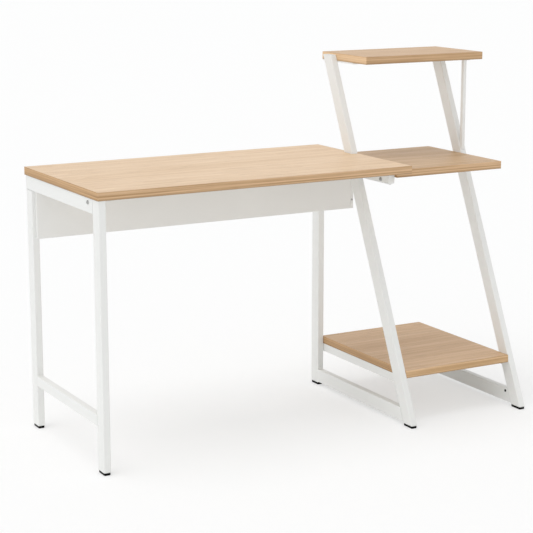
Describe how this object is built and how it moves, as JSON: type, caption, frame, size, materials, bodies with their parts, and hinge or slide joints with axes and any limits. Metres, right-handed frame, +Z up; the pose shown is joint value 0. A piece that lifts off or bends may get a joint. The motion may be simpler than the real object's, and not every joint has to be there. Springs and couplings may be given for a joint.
{
  "type": "desk with shelves",
  "caption": "Writing desk with an oak-look top on white tube legs, a modesty panel and a leaning shelf tower at its right end.",
  "frame": {"origin": "on the floor, under the middle of the whole desk's box", "axes": "+X to the right along the desk towards the shelf tower, +Y to the back, +Z up"},
  "size_m": [1.362, 0.564, 1.034],
  "materials": {
    "oak_board": "pale oak decor, fine lengthwise grain, satin",
    "oak_band": "edge band in the board's colour with fine lengthwise lines",
    "white_steel": "white powder coat, fine texture",
    "white_plastic": "white moulded plastic, matt",
    "panel_board": "grey-white melamine-faced board, matt",
    "black_foot": "black moulded plastic, matt",
    "zinc_steel": "zinc-plated steel, dull"
  },
  "bodies": {
    "frame": {"arm_cap": "white_plastic", "arm_front": "white_steel", "arm_rear": "white_steel", "base_left": "white_steel", "base_right": "white_steel", "desk_angle_left": "white_steel", "desk_angle_right": "white_steel", "desk_screws": "zinc_steel", "desktop": "oak_board", "desktop_band": "oak_band", "end_bolt": "zinc_steel", "frame_bolts": "zinc_steel", "frame_nuts": "zinc_steel", "front_leg": "white_steel", "hole_plug": "black_foot", "insert_left_front": "white_plastic", "insert_left_rear": "white_plastic", "insert_mid_front": "white_plastic", "insert_mid_rear": "white_plastic", "insert_right_front": "white_plastic", "insert_right_rear": "white_plastic", "ledge_caps": "white_plastic", "left_brace": "white_steel", "left_rail": "white_steel", "left_rail_cap": "white_plastic", "low_ledge": "white_steel", "low_rail": "white_steel", "low_screws": "zinc_steel", "low_shelf": "oak_board", "low_shelf_band": "oak_band", "low_strip": "white_steel", "mid_angle_left": "white_steel", "mid_angle_right": "white_steel", "mid_screws": "zinc_steel", "mid_shelf": "oak_board", "mid_shelf_band": "oak_band", "modesty_panel": "panel_board", "panel_screws": "zinc_steel", "panel_trim": "white_plastic", "rear_leg": "white_steel", "rear_riser": "white_steel", "slant_cap": "white_plastic", "slant_left": "white_steel", "slant_right": "white_steel", "thin_post": "white_steel", "top_bar": "white_steel", "top_plate": "white_steel", "top_screws": "zinc_steel", "top_shelf": "oak_board", "top_shelf_band": "oak_band", "tower_upright": "white_steel", "trim_screw": "zinc_steel"},
    "foot_left_front": {"foot_left_front": "black_foot"},
    "foot_left_rear": {"foot_left_rear": "black_foot"},
    "foot_mid_front": {"foot_mid_front": "black_foot"},
    "foot_mid_rear": {"foot_mid_rear": "black_foot"},
    "foot_right_front": {"foot_right_front": "black_foot"},
    "foot_right_rear": {"foot_right_rear": "black_foot"}
  },
  "joints": [
    {"name": "foot_left_front_screw", "type": "slide", "parent": "frame", "child": "foot_left_front", "axis": [0, 0, -1], "range_m": [0, 0.01]},
    {"name": "foot_left_rear_screw", "type": "slide", "parent": "frame", "child": "foot_left_rear", "axis": [0, 0, -1], "range_m": [0, 0.01]},
    {"name": "foot_mid_front_screw", "type": "slide", "parent": "frame", "child": "foot_mid_front", "axis": [0, 0, -1], "range_m": [0, 0.01]},
    {"name": "foot_mid_rear_screw", "type": "slide", "parent": "frame", "child": "foot_mid_rear", "axis": [0, 0, -1], "range_m": [0, 0.01]},
    {"name": "foot_right_front_screw", "type": "slide", "parent": "frame", "child": "foot_right_front", "axis": [0, 0, -1], "range_m": [0, 0.01]},
    {"name": "foot_right_rear_screw", "type": "slide", "parent": "frame", "child": "foot_right_rear", "axis": [0, 0, -1], "range_m": [0, 0.01]}
  ]
}
